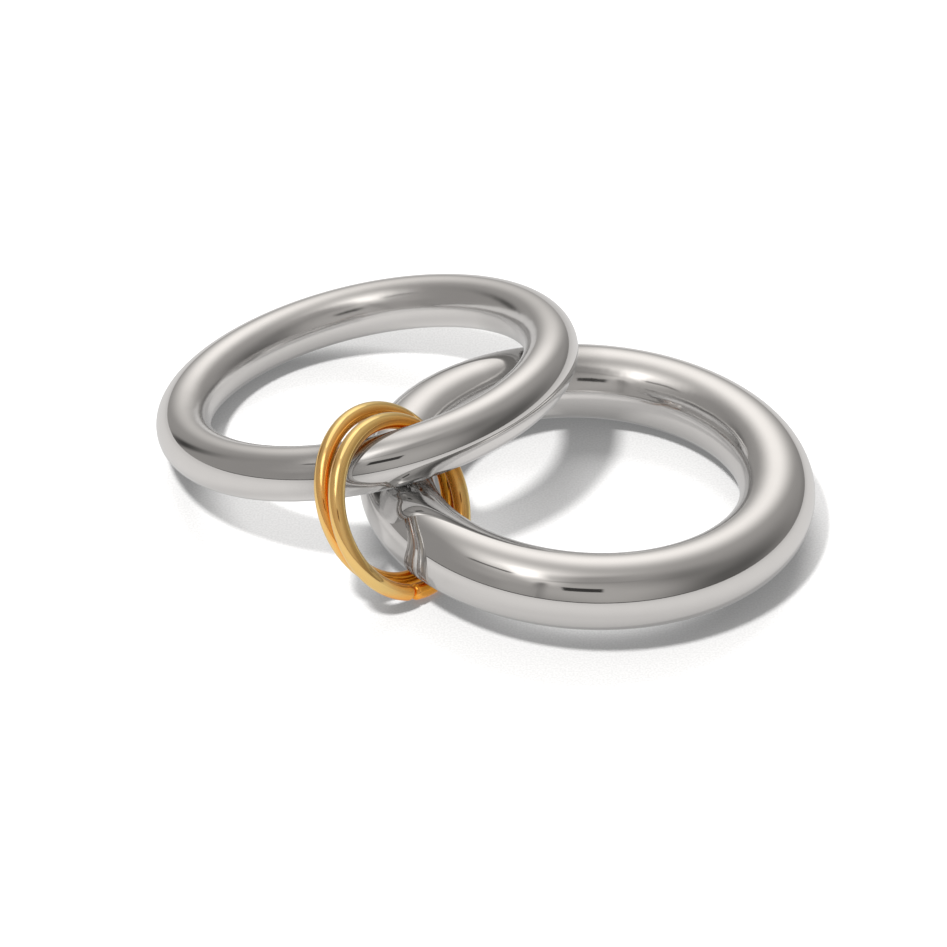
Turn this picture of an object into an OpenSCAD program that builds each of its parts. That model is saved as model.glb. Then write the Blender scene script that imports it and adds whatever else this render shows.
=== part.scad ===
// Stacking ring: two plain round bands held together by two round wire links.
// It lies as it was put down. The thick band lies on the surface and on the wires under it,
// and the thin band leans on the thick one with its far side on the surface.
// Every piece is a ring of round section. A lean is the tilt of a ring off level, in degrees,
// and a bearing is a direction seen from above, in degrees from +X towards +Y.

/* [Bands] */
// Diameter of both bands, across the middle of the tube
band_d = 20.4; // [20.2:0.02:20.6]
// Thickness of the lower band's tube
lower_tube = 4.04; // [3.6:0.02:4.06]
// Thickness of the upper band's tube
upper_tube = 2.96; // [2.4:0.02:2.98]

/* [Links] */
// Diameter of both links, across the middle of the wire
link_d = 9.14; // [9.1:0.01:9.2]
// Thickness of the links' wire
wire = 0.9; // [0.7:0.02:0.92]
// Width of the seam between the two ends of a wire
seam_gap = 0.06; // [0.02:0.01:0.2]
// Rounding of the wire's ends
end_round = 0.3; // [0.1:0.05:0.35]

/* [How it lies] */
// Lean of the lower band, lifted by the wires under it
lower_lean = 2.75; // [2.7:0.05:2.8]
// Bearing that the lower band leans down to
lower_bearing = 50.6; // [50:0.2:51.2]
// Lean of the upper band
upper_lean = 16.1; // [16:0.1:16.4]
// Bearing that the upper band leans down to
upper_bearing = 142.9; // [142.5:0.1:143.3]
// Distance between the middles of the two bands, seen from above
upper_away = 13.52; // [13.5:0.02:13.6]
// Bearing of the upper band's middle from the lower band's middle
upper_place = 151.9; // [151.7:0.1:152.1]
// Lean of the front link
front_lean = 58.1; // [57.9:0.1:58.2]
// Bearing that the front link leans down to
front_bearing = -35.1; // [-35.2:0.1:-35]
// Lean of the rear link
rear_lean = 57.3; // [57.2:0.1:57.4]
// Bearing that the rear link leans down to
rear_bearing = -35.6; // [-35.7:0.1:-35.5]

/* [Hidden] */
$fn = 128;

// Where the links stand, as a distance and a bearing from the lower band's middle
front_away = 11.05;
front_place = 206;
rear_away = 11.31;
rear_place = 199.5;

// Where the seams are, in degrees round the link from its lowest point
front_seam = -25;
rear_seam = 10;

// The direction of a ring's axis, as its parts along X and Y
function axis_xy(lean, bearing) = sin(lean) * [cos(bearing), sin(bearing)];

// A place seen from above
function place(away, bearing) = away * [cos(bearing), sin(bearing)];

// How far a leaning band reaches from its middle along one axis, given that part of its axis
function reach(tube, along) = band_d / 2 * sqrt(1 - along * along) + tube / 2;

// The middle of what the two bands cover seen from above. The model is centred on it.
lower_axis = axis_xy(lower_lean, lower_bearing);
upper_axis = axis_xy(upper_lean, upper_bearing);
upper_middle = place(upper_away, upper_place);
centre = [for (i = [0, 1]) (
    max(reach(lower_tube, lower_axis[i]), upper_middle[i] + reach(upper_tube, upper_axis[i]))
    - max(reach(lower_tube, lower_axis[i]), reach(upper_tube, upper_axis[i]) - upper_middle[i])
) / 2];

// Puts a ring down so that its lowest point touches the surface
module laid(across, thick, lean, bearing, at)
    translate([at.x - centre.x, at.y - centre.y, across / 2 * sin(lean) + thick / 2])
        rotate([0, 0, bearing]) rotate([0, lean, 0]) children();

module ring(across, thick)
    rotate_extrude() translate([across / 2, 0]) circle(d = thick);

// What is cut from a link where its wire's two ends nearly meet: a thin slice between the
// ends, which opens out round its rim so that the ends come out rounded. It stands on edge,
// round the wire.
module seam_cut() {
    end = seam_gap / 2 + end_round;
    flat = wire / 2 - end_round;
    rotate_extrude() difference() {
        translate([0, -end]) square([wire, 2 * end]);
        for (side = [-1, 1]) {
            translate([flat, side * end]) circle(r = end_round);
            translate([0, side * end - end_round]) square([flat, 2 * end_round]);
        }
    }
}

// A link bent round from one length of wire
module link(seam) difference() {
    ring(link_d, wire);
    rotate([0, 0, seam]) translate([link_d / 2, 0, 0]) rotate([90, 0, 0]) seam_cut();
}

module lower_band()
    color("silver") laid(band_d, lower_tube, lower_lean, lower_bearing, [0, 0]) ring(band_d, lower_tube);

module upper_band()
    color("silver") laid(band_d, upper_tube, upper_lean, upper_bearing, upper_middle) ring(band_d, upper_tube);

module front_link()
    color("goldenrod")
        laid(link_d, wire, front_lean, front_bearing, place(front_away, front_place)) link(front_seam);

module rear_link()
    color("goldenrod")
        laid(link_d, wire, rear_lean, rear_bearing, place(rear_away, rear_place)) link(rear_seam);

lower_band();
upper_band();
front_link();
rear_link();
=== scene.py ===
# %% [markdown]
# # A linked stacking ring
# Two plain round bands of polished white metal lie one on the other. Two yellow wire links
# hold them together. Every piece is bent from round rod, so every piece can be made the same
# way: a circle for the rod's section is carried round the ring's axis with Spin.
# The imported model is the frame. It says where each ring is and how thick its rod is, and the
# pieces made here stand for its nodes at the same size and place.

# %% Load the frame
from math import cos, pi, radians, sin

import bpy
from mathutils import Matrix, Vector


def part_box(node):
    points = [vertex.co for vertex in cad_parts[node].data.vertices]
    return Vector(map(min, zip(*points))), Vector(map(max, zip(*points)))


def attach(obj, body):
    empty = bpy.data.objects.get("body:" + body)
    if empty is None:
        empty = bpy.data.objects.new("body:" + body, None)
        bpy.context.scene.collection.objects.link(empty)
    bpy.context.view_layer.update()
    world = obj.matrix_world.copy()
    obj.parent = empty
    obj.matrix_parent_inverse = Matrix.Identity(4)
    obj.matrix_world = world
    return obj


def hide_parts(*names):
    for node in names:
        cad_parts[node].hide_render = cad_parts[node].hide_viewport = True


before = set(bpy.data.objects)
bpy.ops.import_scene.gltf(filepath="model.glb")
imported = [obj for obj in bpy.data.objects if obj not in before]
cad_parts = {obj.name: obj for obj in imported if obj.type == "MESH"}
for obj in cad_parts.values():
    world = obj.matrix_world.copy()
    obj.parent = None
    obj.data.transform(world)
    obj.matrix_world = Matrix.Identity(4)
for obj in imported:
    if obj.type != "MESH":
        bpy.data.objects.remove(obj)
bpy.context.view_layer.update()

MM = 0.001
print("nodes:", sorted(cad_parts))

# %% [markdown]
# ## The camera
# The picture was taken from well back with a long lens, a good thirty five degrees above the
# surface, so the bands show as even ellipses. The camera is turned a little about its own
# line of sight. Its place follows from the point that it aims at, its distance and these
# angles.

# %% Camera
AIM = Vector((-0.5175, 1.4429, 0)) * MM
DISTANCE = 346.96 * MM
ELEVATION = 35.52
HEADING = 0.05
ROLL = 0.72
LENS, SENSOR = 242.93, 36

camera_data = bpy.data.cameras.new("camera")
camera_data.sensor_width = SENSOR
camera_data.lens = LENS
camera_data.clip_start = 10 * MM
camera_data.clip_end = 100
camera = bpy.data.objects.new("camera", camera_data)
bpy.context.scene.collection.objects.link(camera)
bpy.context.scene.camera = camera

turned = (
    Matrix.Rotation(radians(HEADING), 4, "Z")
    @ Matrix.Rotation(radians(90 - ELEVATION), 4, "X")
    @ Matrix.Rotation(radians(ROLL), 4, "Z")
)
back = turned.to_3x3() @ Vector((0, 0, 1))
camera.matrix_world = Matrix.Translation(AIM + back * DISTANCE) @ turned
print("camera in mm:", [round(x / MM, 1) for x in camera.matrix_world.translation])

# %% [markdown]
# ## Node helpers
# Materials and the studio light are node trees. Two short helpers add a node and wire it up,
# so that each tree below reads as a list of steps.

# %% Node helpers
def add_node(tree, kind, inputs=(), **settings):
    node = tree.nodes.new(kind)
    for name, value in settings.items():
        setattr(node, name, value)
    for key, value in dict(inputs).items():
        if isinstance(value, bpy.types.NodeSocket):
            tree.links.new(value, node.inputs[key])
        else:
            node.inputs[key].default_value = value
    return node


def calculate(tree, operation, *values, clamp=False):
    node = add_node(tree, "ShaderNodeMath", enumerate(values), operation=operation)
    node.use_clamp = clamp
    return node.outputs[0]


def new_group(name, inputs, outputs):
    group = bpy.data.node_groups.new(name, "ShaderNodeTree")
    for title, kind, value in inputs:
        socket = group.interface.new_socket(title, in_out="INPUT", socket_type=kind)
        socket.default_value = value
    for title, kind in outputs:
        group.interface.new_socket(title, in_out="OUTPUT", socket_type=kind)
    start = group.nodes.new("NodeGroupInput")
    end = group.nodes.new("NodeGroupOutput")
    return group, start.outputs, end


# %% [markdown]
# ## The studio
# Polished metal shows little but the room round it, so the room is the larger part of this
# picture. A room far away can be painted on the world: some twenty soft cards, each a patch of
# one brightness with soft edges, laid one over the other on a grey ground. One node group makes
# the mask of a card. It turns the direction so that the card is straight ahead, measures the
# angles across and up from there, and fades the mask out at the card's edges.

# %% A soft card
FLOAT, VECTOR = "NodeSocketFloat", "NodeSocketVector"
card_group, given, made = new_group(
    "soft_card",
    [("Direction", VECTOR, (0, 1, 0)), ("Turn", VECTOR, (0, 0, 0)),
     ("Inner across", FLOAT, 10), ("Outer across", FLOAT, 20),
     ("Inner up", FLOAT, 10), ("Outer up", FLOAT, 20)],
    [("Mask", FLOAT)],
)
ahead = add_node(
    card_group, "ShaderNodeVectorRotate", {"Vector": given["Direction"], "Rotation": given["Turn"]},
    rotation_type="EULER_XYZ", invert=True,
)
parts = add_node(card_group, "ShaderNodeSeparateXYZ", {0: ahead.outputs[0]}).outputs
angles = {
    "across": calculate(card_group, "ARCTAN2", parts["X"], parts["Y"]),
    "up": calculate(card_group, "ARCSINE", parts["Z"]),
}
fades = []
for way, angle in angles.items():
    turned_by = calculate(card_group, "DEGREES", calculate(card_group, "ABSOLUTE", angle))
    fade = add_node(
        card_group, "ShaderNodeMapRange",
        {"Value": turned_by, "From Min": given["Outer " + way], "From Max": given["Inner " + way]},
        interpolation_type="SMOOTHSTEP",
    )
    fades.append(fade.outputs[0])
card_group.links.new(calculate(card_group, "MULTIPLY", *fades), made.inputs["Mask"])
print("soft card: brightness 1 inside, 0 outside, smooth between")

# %% [markdown]
# ## Laying out the cards
# A bearing of 0 is straight behind the ring, 90 is to the right and 180 is where the camera
# stands. The large soft light behind the ring gives the bands their broad bright tops. The
# key light is high up on the left, in front of the ring. The right wall is dark, and gives
# the grey that shows the bands' roundness. The camera is a small dark block, as it is in
# every picture of a polished thing.

# %% The studio's cards
world = bpy.data.worlds.new("studio")
bpy.context.scene.world = world
world.use_nodes = True
sky = world.node_tree
sky.nodes.clear()
direction = sky.nodes.new("ShaderNodeTexCoord").outputs["Generated"]
GROUND = 0.27
ROOM_COLOUR = (1.0, 0.985, 0.965, 1)

# name, bearing, height, roll, half width, half height, soft sideways, soft upright, brightness
CARDS = [
    ("right wall", 103, 9, 15, 32, 30, 28, 24, 0.10),
    ("right wall, upper end", 110, 45, 0, 11, 15, 10, 15, 0.17),
    ("shade low behind", 60, 0, 0, 30, 6, 20, 7, 0.20),
    ("front wall", 185, 35, 25, 42, 26, 22, 18, 0.39),
    ("left wall", 304, 36, 10, 11, 28, 10, 24, 0.21),
    ("ceiling", 238, 81, 70, 20, 18, 22, 16, 0.70),
    ("gap in the ceiling", 167, 68, -15, 18, 11, 12, 6, 0.29),
    ("back light, glow", 0, 52, -20, 38, 34, 22, 37, 0.375),
    ("back light", -1, 38, 4, 18, 24, 16, 23, 1.0),
    ("key light, glow", 250, 70, 24, 8, 12, 28, 11, 1.2),
    ("key light", 225, 65, -33, 5, 12, 4, 7, 1.4),
    ("foot of the key light", 205, 51, 0, 6, 7, 7, 7, 0.7),
    ("shade beside the left panel", 203, 0, 0, 3, 48, 3, 5, 0.19),
    ("left panel", 241, 0, 0, 38.2, 27, 0.5, 8, 0.27),
    ("light on the left panel", 212, 18, 0, 9, 16, 7, 14, 0.32),
    ("gap over the front panel", 163, 61, 0, 20, 1.5, 12, 2, 0.25),
    ("frame of the key light", 242, 53.3, -16, 9, 1.8, 2, 1.5, 0.11),
    ("dark corner", 307, 8, 26, 5.5, 13, 4, 15, 0.05),
    ("edge of the table", 190, 1, 0, 80, 1.4, 12, 0.4, 0.08),
    ("camera", 180, 38.5, 0, 8.5, 5, 1, 1, 0.04),
]


def turn_to(bearing, height, roll):
    """The turn that brings straight ahead, +Y, to a card's middle."""
    turn = (
        Matrix.Rotation(radians(-bearing), 3, "Z")
        @ Matrix.Rotation(radians(height), 3, "X")
        @ Matrix.Rotation(radians(-roll), 3, "Y")
    )
    return turn.to_euler("XYZ")


brightness = GROUND
for name, bearing, height, roll, wide, high, soft_x, soft_z, value in CARDS:
    card = add_node(sky, "ShaderNodeGroup", node_tree=card_group, label=name)
    sky.links.new(direction, card.inputs["Direction"])
    card.inputs["Turn"].default_value = turn_to(bearing, height, roll)
    card.inputs["Inner across"].default_value = wide - soft_x
    card.inputs["Outer across"].default_value = wide + soft_x
    card.inputs["Inner up"].default_value = high - soft_z
    card.inputs["Outer up"].default_value = high + soft_z
    mix = add_node(
        sky, "ShaderNodeMix", {0: card.outputs["Mask"], 2: brightness, 3: value}, data_type="FLOAT",
    )
    brightness = mix.outputs[0]
background = add_node(sky, "ShaderNodeBackground", {"Strength": brightness})
background.inputs["Color"].default_value = ROOM_COLOUR
sky_out = sky.nodes.new("ShaderNodeOutputWorld")
sky.links.new(background.outputs[0], sky_out.inputs["Surface"])
print(len(CARDS), "cards on a ground of", GROUND)

# %% [markdown]
# ## The floor
# A sheet of white paper, swept out far enough that its edge is the horizon that the bands
# reflect. A product picture has its background whitened, so the paper is twice as bright to
# the camera as it is in the metal. In the metal it also fades a little away from the ring,
# because the lights are aimed at the ring. A glow of its own lifts its shadows, as light thrown
# back and forth by a white room does, and most so in the metal.

# %% Floor
FLOOR_HALF = 20
bpy.ops.object.select_all(action="DESELECT")
bpy.ops.mesh.primitive_plane_add(size=2 * FLOOR_HALF, location=(0, 0, 0))
floor = bpy.context.object
floor.name = "floor"

PAPER, PAPER_GLOW = 0.60, 0.20
PAPER_IN_METAL, PAPER_GLOW_IN_METAL = 0.14, 0.41
NEAR, FAR, FAR_LEVEL = 10 * MM, 60 * MM, 0.84
GRAIN_SCALE = 9000
GRAIN_LOW, GRAIN_HIGH = 0.94, 1.06
paper = bpy.data.materials.new("white_paper")
paper.use_nodes = True
tree = paper.node_tree
tree.nodes.clear()
place = tree.nodes.new("ShaderNodeTexCoord").outputs["Object"]
grain = add_node(tree, "ShaderNodeTexNoise", {"Vector": place, "Scale": GRAIN_SCALE, "Detail": 0})
grain_level = add_node(
    tree, "ShaderNodeMapRange",
    {"Value": grain.outputs[0], "From Min": 0.3, "From Max": 0.7,
     "To Min": GRAIN_LOW, "To Max": GRAIN_HIGH},
)
away = add_node(tree, "ShaderNodeVectorMath", {0: place}, operation="LENGTH")
fading = add_node(
    tree, "ShaderNodeMapRange",
    {"Value": away.outputs["Value"], "From Min": NEAR, "From Max": FAR,
     "To Min": 1, "To Max": FAR_LEVEL},
)
seen = tree.nodes.new("ShaderNodeLightPath").outputs["Is Camera Ray"]
in_metal = calculate(tree, "MULTIPLY", fading.outputs[0], PAPER_IN_METAL)
glow_in_metal = calculate(tree, "MULTIPLY", fading.outputs[0], PAPER_GLOW_IN_METAL)
white = add_node(tree, "ShaderNodeMix", {0: seen, 2: in_metal, 3: PAPER}, data_type="FLOAT")
glow = add_node(
    tree, "ShaderNodeMix", {0: seen, 2: glow_in_metal, 3: PAPER_GLOW}, data_type="FLOAT",
)
level = calculate(tree, "MULTIPLY", white.outputs[0], grain_level.outputs[0])
paper_colour = add_node(tree, "ShaderNodeCombineColor", {0: level, 1: level, 2: level})
sheet = add_node(tree, "ShaderNodeBsdfDiffuse", {"Color": paper_colour.outputs[0]})
lift = add_node(tree, "ShaderNodeEmission", {"Strength": glow.outputs[0]})
both = add_node(tree, "ShaderNodeAddShader", {0: sheet.outputs[0], 1: lift.outputs[0]})
paper_out = tree.nodes.new("ShaderNodeOutputMaterial")
tree.links.new(both.outputs[0], paper_out.inputs["Surface"])
floor.data.materials.append(paper)
print("floor:", 2 * FLOOR_HALF, "m across")

# %% [markdown]
# ## The floor's lights
# Two shadows lie on the paper: a fairly crisp one from the key light, and a wide soft one
# from the back light. Each comes from a lamp that stands where its card is, but that only the
# paper sees. The metal sees the cards, so the highlights keep their soft edges.

# %% The floor's lights
def aim_from(lamp, bearing, height):
    """Points a lamp at the ring from a bearing and a height above the horizon."""
    towards = Vector((0, 1, 0))
    towards.rotate(turn_to(bearing, height, 0))
    lamp.rotation_euler = towards.to_track_quat("Z", "Y").to_euler()
    return towards


def light_only(lamp, pieces):
    """Keeps a lamp's light to one collection, and keeps the lamp itself out of the metal."""
    lamp.light_linking.receiver_collection = pieces
    lamp.visible_glossy = False
    bpy.context.scene.collection.objects.link(lamp)


LAMP_COLOUR = (1, 0.99, 0.98)
KEY_AWAY, KEY_SIZE = 500 * MM, 70 * MM
BACK_WIDTH = 42
floor_only = bpy.data.collections.new("floor_only")
floor_only.objects.link(floor)

key_data = bpy.data.lights.new("key_lamp", "AREA")
key_data.shape = "DISK"
key_data.size = KEY_SIZE
key_data.energy = 2.74
key_data.color = LAMP_COLOUR
key_lamp = bpy.data.objects.new("key_lamp", key_data)
key_lamp.location = aim_from(key_lamp, 229, 66) * KEY_AWAY
light_only(key_lamp, floor_only)

back_data = bpy.data.lights.new("back_lamp", "SUN")
back_data.angle = radians(BACK_WIDTH)
back_data.energy = 3.55
back_data.color = LAMP_COLOUR
back_lamp = bpy.data.objects.new("back_lamp", back_data)
aim_from(back_lamp, -1, 38)
light_only(back_lamp, floor_only)
print("key lamp in mm:", [round(x / MM) for x in key_lamp.location])

# %% [markdown]
# ## Polished metal
# Both metals are mirror polished by hand, so their look is the room's look, tinted. What tells
# them from a perfect mirror is small: faint hair lines from the polishing wheel, a slight
# haze that comes and goes, and a surface that isn't quite even. The wheel reaches the inside
# of a band less well, so there the haze and the unevenness are stronger. One node group makes
# these, and each metal uses it with its own values.

# %% Hand polish
DENT_SCALE, LINE_SCALE = 900, 2600
LINE_STRETCH = 9
LINE_HEIGHT = 0.01
POLISH_DEPTH = 0.01 * MM

polish_group, given, made = new_group(
    "hand_polish",
    [("Position", VECTOR, (0, 0, 0)), ("Inside", FLOAT, 0), ("Size", FLOAT, 400),
     ("Unevenness", FLOAT, 0.5), ("Unevenness inside", FLOAT, 0),
     ("Least haze", FLOAT, 0.03), ("Most haze", FLOAT, 0.08), ("Haze inside", FLOAT, 0),
     ("Shade", FLOAT, 0.03)],
    [("Roughness", FLOAT), ("Height", FLOAT), ("Tone", FLOAT)],
)
waves = add_node(
    polish_group, "ShaderNodeTexNoise",
    {"Vector": given["Position"], "Scale": given["Size"], "Detail": 1},
)
dents = add_node(
    polish_group, "ShaderNodeTexNoise",
    {"Vector": given["Position"], "Scale": DENT_SCALE, "Detail": 2},
)
haze = add_node(
    polish_group, "ShaderNodeTexNoise",
    {"Vector": given["Position"], "Scale": DENT_SCALE, "Detail": 4},
)
stretched = add_node(
    polish_group, "ShaderNodeVectorMath",
    {0: given["Position"], 1: (1, 1, LINE_STRETCH)}, operation="MULTIPLY",
)
lines = add_node(
    polish_group, "ShaderNodeTexNoise",
    {"Vector": stretched.outputs[0], "Scale": LINE_SCALE, "Detail": 5},
)
heights = [
    calculate(polish_group, "MULTIPLY", lines.outputs[0], LINE_HEIGHT),
    calculate(polish_group, "MULTIPLY", waves.outputs[0], given["Unevenness"]),
    calculate(
        polish_group, "MULTIPLY", dents.outputs[0],
        calculate(polish_group, "MULTIPLY", given["Inside"], given["Unevenness inside"]),
    ),
]
height = calculate(polish_group, "ADD", calculate(polish_group, "ADD", *heights[:2]), heights[2])
rough = add_node(
    polish_group, "ShaderNodeMapRange",
    {"Value": haze.outputs[0], "From Min": 0.3, "From Max": 0.7,
     "To Min": given["Least haze"], "To Max": given["Most haze"]},
)
rough_inside = calculate(polish_group, "MULTIPLY", given["Inside"], given["Haze inside"])
roughness = calculate(polish_group, "ADD", rough.outputs[0], rough_inside)
shade = calculate(polish_group, "MULTIPLY", haze.outputs[0], given["Shade"])
tone = calculate(polish_group, "SUBTRACT", 1, shade)
polish_group.links.new(roughness, made.inputs["Roughness"])
polish_group.links.new(height, made.inputs["Height"])
polish_group.links.new(tone, made.inputs["Tone"])


def polished(name, colour, **values):
    """A polished metal in its own colour. values are the values of the polish."""
    metal = bpy.data.materials.new(name)
    metal.use_nodes = True
    nodes = metal.node_tree
    shader = nodes.nodes["Principled BSDF"]
    position = nodes.nodes.new("ShaderNodeTexCoord").outputs["Object"]
    polish = add_node(nodes, "ShaderNodeGroup", node_tree=polish_group)
    nodes.links.new(position, polish.inputs["Position"])
    for title, value in values.items():
        polish.inputs[title.replace("_", " ")].default_value = value
    tinted = add_node(
        nodes, "ShaderNodeVectorMath", {0: colour, "Scale": polish.outputs["Tone"]},
        operation="SCALE",
    )
    raised = add_node(
        nodes, "ShaderNodeBump",
        {"Height": polish.outputs["Height"], "Distance": POLISH_DEPTH, "Strength": 1},
    )
    nodes.links.new(tinted.outputs[0], shader.inputs["Base Color"])
    nodes.links.new(polish.outputs["Roughness"], shader.inputs["Roughness"])
    nodes.links.new(raised.outputs[0], shader.inputs["Normal"])
    shader.inputs["Metallic"].default_value = 1
    metal.diffuse_color = (*colour, 1)
    print(name, "colour", colour)
    return metal, nodes, polish, tinted.outputs[0], shader


# %% [markdown]
# ## Where the pieces crowd together
# Narrow places between the pieces are darker and deeper than mirrors alone would make them,
# so painted shade goes there: the silver's colour is darkened, and the gold gets a painted
# orange. The share of the open air that a place sees tells where that is.

# %% Closed in places
STILL_OPEN = 0.95


def closed_in(nodes, reach, fully):
    """From 0 in the open to 1 where no more than fully of the air within reach is open."""
    open_air = add_node(nodes, "ShaderNodeAmbientOcclusion", {"Distance": reach}, samples=3)
    crowded = add_node(
        nodes, "ShaderNodeMapRange",
        {"Value": open_air.outputs["AO"], "From Min": STILL_OPEN, "From Max": fully},
        interpolation_type="SMOOTHSTEP",
    )
    return crowded.outputs[0]


# %% [markdown]
# ## Silver
# The polishing wheel reaches less well into the hole of the thin band than into the thick
# band's, so each band has its own haze inside. Silver that is seen in silver is darker than
# its colour would make it, and no warmer, so it gets a painted darker reflection: a ray that
# comes off a mirror finds a greyer metal. In narrow places between the pieces, painted shade
# darkens the silver's colour.

# %% Silver
SILVER = (0.914, 0.885, 0.861)
SILVER_PAINTED_SHADE = (0.5, 0.485, 0.47, 1)
SILVER_PAINTED_REFLECTION = (0.79, 0.79, 0.79, 1)


def polished_silver(name, haze_inside, unevenness_inside):
    metal, nodes, polish, tinted, shader = polished(
        name, SILVER, Size=350, Unevenness=0.5, Unevenness_inside=unevenness_inside,
        Least_haze=0.03, Most_haze=0.07, Haze_inside=haze_inside,
    )
    inside = add_node(nodes, "ShaderNodeAttribute", attribute_name="inside")
    how_far_in = add_node(
        nodes, "ShaderNodeMapRange",
        {"Value": inside.outputs["Fac"], "From Min": -0.1, "From Max": 0.6},
        interpolation_type="SMOOTHSTEP",
    )
    nodes.links.new(how_far_in.outputs[0], polish.inputs["Inside"])
    in_a_mirror = nodes.nodes.new("ShaderNodeLightPath").outputs["Is Glossy Ray"]
    # Painted shade: where the pieces crowd together, the silver's colour is darkened.
    painted_shade = add_node(
        nodes, "ShaderNodeMix",
        {0: closed_in(nodes, 2.5 * MM, 0.45), 6: tinted, 7: SILVER_PAINTED_SHADE}, data_type="RGBA",
    )
    # Painted reflection: a ray that comes off a mirror finds a greyer silver.
    painted_reflection = add_node(
        nodes, "ShaderNodeMix",
        {0: in_a_mirror, 6: painted_shade.outputs[2], 7: SILVER_PAINTED_REFLECTION}, data_type="RGBA",
    )
    nodes.links.new(painted_reflection.outputs[2], shader.inputs["Base Color"])
    return metal


silver_thick = polished_silver("polished_silver_thick", 0.06, 1.0)
silver_thin = polished_silver("polished_silver_thin", 0.13, 1.0)

# %% [markdown]
# ## Yellow gold
# Gold mirrors the room too. Where the wires are closed in, which is where they mirror one
# another, a deep orange is painted into the colour as a painted reflection. A small share of
# the look is plain colour, which keeps the shaded wire warm.
# The silver and the paper show the links as nearly grey, so the gold gets a painted grey
# reflection: rays that come off something further away than the next wire find a grey metal.

# %% Gold
GOLD = (1.0, 0.76, 0.31)
GOLD_PAINTED_WIRE_REFLECTION = (1.0, 0.42, 0.02, 1)
GOLD_PAINTED_GREY_REFLECTION = (0.72, 0.71, 0.7, 1)
MIRROR_SHARE, LESS_CLOSED_IN = 0.92, 0.1
gold, nodes, _, tinted, shader = polished(
    "polished_gold", GOLD,
    Size=600, Unevenness=0.3, Least_haze=0.04, Most_haze=0.07,
)
between_wires = closed_in(nodes, 2 * MM, 0.5)
# Painted reflection: a deep orange where the wires mirror one another.
painted_wire_reflection = add_node(
    nodes, "ShaderNodeMix", {0: between_wires, 6: tinted, 7: GOLD_PAINTED_WIRE_REFLECTION},
    data_type="RGBA",
)
light_path = nodes.nodes.new("ShaderNodeLightPath").outputs
from_afar = add_node(
    nodes, "ShaderNodeMapRange",
    {"Value": light_path["Ray Length"], "From Min": 0.2 * MM, "From Max": 0.5 * MM},
)
thrown_back = calculate(nodes, "ADD", light_path["Is Glossy Ray"], light_path["Is Diffuse Ray"])
in_a_mirror = calculate(nodes, "MULTIPLY", thrown_back, from_afar.outputs[0])
# Painted reflection: rays from further away than the next wire find a grey gold.
painted_reflection = add_node(
    nodes, "ShaderNodeMix", {0: in_a_mirror, 6: painted_wire_reflection.outputs[2], 7: GOLD_PAINTED_GREY_REFLECTION},
    data_type="RGBA",
)
nodes.links.new(painted_reflection.outputs[2], shader.inputs["Base Color"])
metal_share = add_node(
    nodes, "ShaderNodeMapRange", {"Value": in_a_mirror, "To Min": MIRROR_SHARE, "To Max": 1},
)
less_metal = calculate(nodes, "MULTIPLY", between_wires, LESS_CLOSED_IN)
mirrored = calculate(nodes, "SUBTRACT", metal_share.outputs[0], less_metal)
nodes.links.new(mirrored, shader.inputs["Metallic"])

# %% [markdown]
# ## Bending a ring from rod
# A ring is a circle, the rod's section, carried round an axis. Spin does just that: it copies
# the selected circle in steps round a centre and joins the copies. The ring is made lying flat
# round the origin and then turned and moved as one, as it would be picked up and put down.

# %% Ring helpers
TAU = 2 * pi
CLOSE = 0.004 * MM
BAND_SIDES, BAND_STEPS = 96, 480
LINK_SIDES, LINK_STEPS = 64, 300


def rod_section(radius, ring_radius, sides, at):
    """A circle for the rod's section, at an angle round a ring that lies flat."""
    bpy.ops.object.select_all(action="DESELECT")
    bpy.ops.mesh.primitive_circle_add(
        vertices=sides, radius=radius, rotation=(pi / 2, 0, at),
        location=(ring_radius * cos(at), ring_radius * sin(at), 0),
    )
    return bpy.context.object


def lay_down(piece, name, node, lean, bearing):
    """Leans a finished ring towards a bearing, and puts its middle where the node's middle is."""
    low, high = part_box(node)
    piece.name = piece.data.name = name
    piece.matrix_world = (
        Matrix.Translation((low + high) / 2)
        @ Matrix.Rotation(radians(bearing), 4, "Z")
        @ Matrix.Rotation(radians(lean), 4, "Y")
    )
    bpy.ops.object.transform_apply(location=True, rotation=True, scale=True)
    bpy.ops.object.shade_smooth()
    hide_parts(node)
    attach(piece, "root")
    print(name, "faces:", len(piece.data.polygons), "stands for", node)


def band(name, node, across, thick, lean, bearing, metal):
    """A closed band of round rod. Its points note how far inside the band they are, from -1 to 1."""
    piece = rod_section(thick / 2, across / 2, BAND_SIDES, 0)
    bpy.ops.object.transform_apply(location=True, rotation=True, scale=True)
    bpy.ops.object.mode_set(mode="EDIT")
    bpy.ops.mesh.select_all(action="SELECT")
    bpy.ops.mesh.spin(steps=BAND_STEPS, angle=TAU, center=(0, 0, 0), axis=(0, 0, 1))
    bpy.ops.mesh.select_all(action="SELECT")
    bpy.ops.mesh.remove_doubles(threshold=CLOSE)
    bpy.ops.mesh.normals_make_consistent(inside=False)
    bpy.ops.object.mode_set(mode="OBJECT")
    inside = piece.data.attributes.new("inside", "FLOAT", "POINT")
    for vertex, entry in zip(piece.data.vertices, inside.data):
        entry.value = (across / 2 - vertex.co.xy.length) / (thick / 2)
    lay_down(piece, name, node, lean, bearing)
    piece.data.materials.append(metal)
    return piece


# %% [markdown]
# ## The two bands
# Both bands are bent to the same size and differ only in the rod. The thick band lies almost
# flat, propped up a little by the links under it. The thin band leans on it.

# %% Bands
BAND_ACROSS = 20.4 * MM
thick_band = band("thick_band", "lower_band", BAND_ACROSS, 4.04 * MM, 2.75, 50.6, silver_thick)
thin_band = band("thin_band", "upper_band", BAND_ACROSS, 2.96 * MM, 16.1, 142.9, silver_thin)

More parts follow.
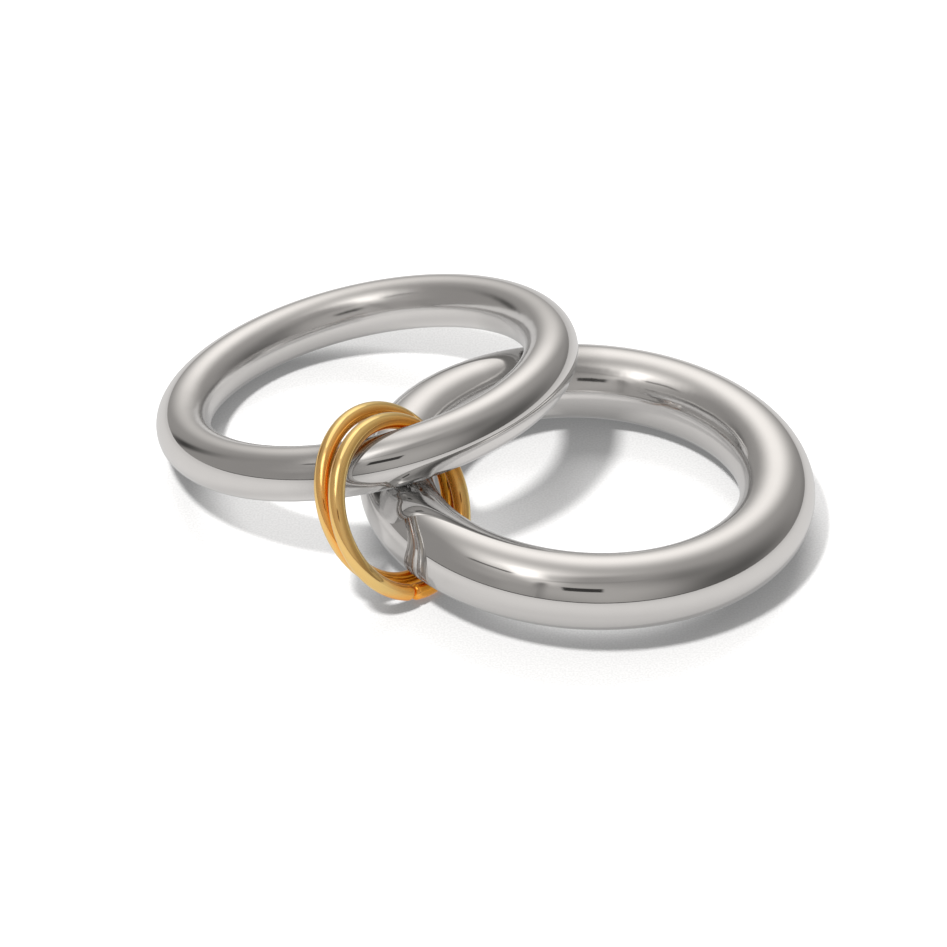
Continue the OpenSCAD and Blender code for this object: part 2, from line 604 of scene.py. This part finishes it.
# %% [markdown]
# ## The links
# A link is a length of wire, bent round until its two ends nearly meet. The spin stops short
# of a full turn, and each end is then drawn in to a small dome, ring by ring.

# %% Link helper
LINK_ACROSS = 9.14 * MM
WIRE = 0.9 * MM
SEAM_GAP = 0.06 * MM
END_ROUND = 0.3 * MM
END_STEPS = 6


def select_end(piece, at):
    """Selects the open end of the wire that is nearest to an angle round the link."""
    bpy.ops.object.mode_set(mode="EDIT")
    bpy.ops.mesh.select_mode(type="VERT")
    bpy.ops.mesh.select_all(action="DESELECT")
    bpy.ops.object.mode_set(mode="OBJECT")
    middle = Vector((LINK_ACROSS / 2 * cos(at), LINK_ACROSS / 2 * sin(at), 0))
    forward = Vector((-sin(at), cos(at), 0))
    for vertex in piece.data.vertices:
        offset = vertex.co - middle
        vertex.select = abs(offset.dot(forward)) < CLOSE and offset.length < WIRE
    bpy.ops.object.mode_set(mode="EDIT")
    return middle, forward


def round_end(piece, at, way):
    """Draws the wire's end in to a dome. way is 1 or -1, the way that the end faces."""
    middle, forward = select_end(piece, at)
    flat = WIRE / 2 - END_ROUND
    reached, size = 0.0, WIRE / 2
    for step in range(1, END_STEPS + 1):
        angle = step / END_STEPS * pi / 2
        ahead_by = END_ROUND * sin(angle)
        wanted = flat + END_ROUND * cos(angle)
        bpy.ops.mesh.extrude_region_move(
            TRANSFORM_OT_translate={"value": forward * way * (ahead_by - reached)}
        )
        share = wanted / size
        middle_now = middle + forward * way * ahead_by
        bpy.ops.transform.resize(value=(share, share, share), center_override=middle_now)
        reached, size = ahead_by, wanted
    bpy.ops.mesh.edge_face_add()
    bpy.ops.object.mode_set(mode="OBJECT")


def link(name, node, lean, bearing, seam):
    """A link with its seam at an angle round it from its lowest point."""
    ring_radius = LINK_ACROSS / 2
    half_cut = (SEAM_GAP / 2 + END_ROUND) / ring_radius
    start = radians(seam) + half_cut
    turn = TAU - 2 * half_cut
    piece = rod_section(WIRE / 2, ring_radius, LINK_SIDES, start)
    bpy.ops.object.transform_apply(location=True, rotation=True, scale=True)
    bpy.ops.object.mode_set(mode="EDIT")
    bpy.ops.mesh.select_all(action="SELECT")
    bpy.ops.mesh.spin(steps=LINK_STEPS, angle=-turn, center=(0, 0, 0), axis=(0, 0, 1))
    bpy.ops.object.mode_set(mode="OBJECT")
    round_end(piece, start, -1)
    round_end(piece, start + turn, 1)
    bpy.ops.object.mode_set(mode="EDIT")
    bpy.ops.mesh.select_all(action="SELECT")
    bpy.ops.mesh.normals_make_consistent(inside=False)
    bpy.ops.object.mode_set(mode="OBJECT")
    lay_down(piece, name, node, lean, bearing)
    piece.data.materials.append(gold)
    return piece


# %% Links
near_link = link("near_link", "front_link", 58.1, -35.1, -25)
far_link = link("far_link", "rear_link", 57.3, -35.6, 10)

# %% [markdown]
# ## Warm lights for the links
# The thin wires would look dull among the bright bands, so they get warm lights of their own:
# orange from both sides, and yellow from low down in front, as if the paper threw it up.
# They don't show in the metal, they only lift the gold's plain colour. The other four do show:
# three white ones give the wires their creamy highlights, and a wide faint one lifts the side
# that faces the dark wall. The paper is in the way of the low one, so only the ring's own
# pieces cast these shadows.

# %% Warm lights
gold_pieces = bpy.data.collections.new("gold_pieces")
ring_pieces = bpy.data.collections.new("ring_pieces")
for piece in (near_link, far_link):
    gold_pieces.objects.link(piece)
for piece in (thick_band, thin_band, near_link, far_link):
    ring_pieces.objects.link(piece)

# bearing, height, width in degrees, energy, colour, shows as a highlight
WARM_LIGHTS = [
    (140, 40, 60, 1.8, (1, 0.3, 0), False),
    (235, 35, 60, 4.0, (1, 0.3, 0), False),
    (200, -25, 60, 5.0, (1, 0.6, 0.2), False),
    (210, 68, 32, 0.16, (1, 1, 1), True),
    (350, 68, 40, 0.2, (1, 1, 1), True),
    (20, 42, 24, 0.05, (1, 1, 1), True),
    (85, 30, 70, 0.14, (1, 0.85, 0.6), True),
]
for number, (bearing, height, width, energy, colour, shows) in enumerate(WARM_LIGHTS, 1):
    warm_data = bpy.data.lights.new("warm_light_%d" % number, "SUN")
    warm_data.energy = energy
    warm_data.color = colour
    warm_data.angle = radians(width)
    warm = bpy.data.objects.new(warm_data.name, warm_data)
    aim_from(warm, bearing, height)
    light_only(warm, gold_pieces)
    warm.light_linking.blocker_collection = ring_pieces
    warm.visible_glossy = shows

# %% [markdown]
# ## How the picture is taken
# The colours are shown as they are, with no film look. Light that mirrors throw on the floor
# is left out, because it would only be noise here.

# %% Picture settings
scene = bpy.context.scene
scene.view_settings.view_transform = "Standard"
scene.view_settings.look = "None"
scene.cycles.caustics_reflective = False
scene.cycles.caustics_refractive = False
scene.cycles.max_bounces = 10
scene.cycles.glossy_bounces = 8
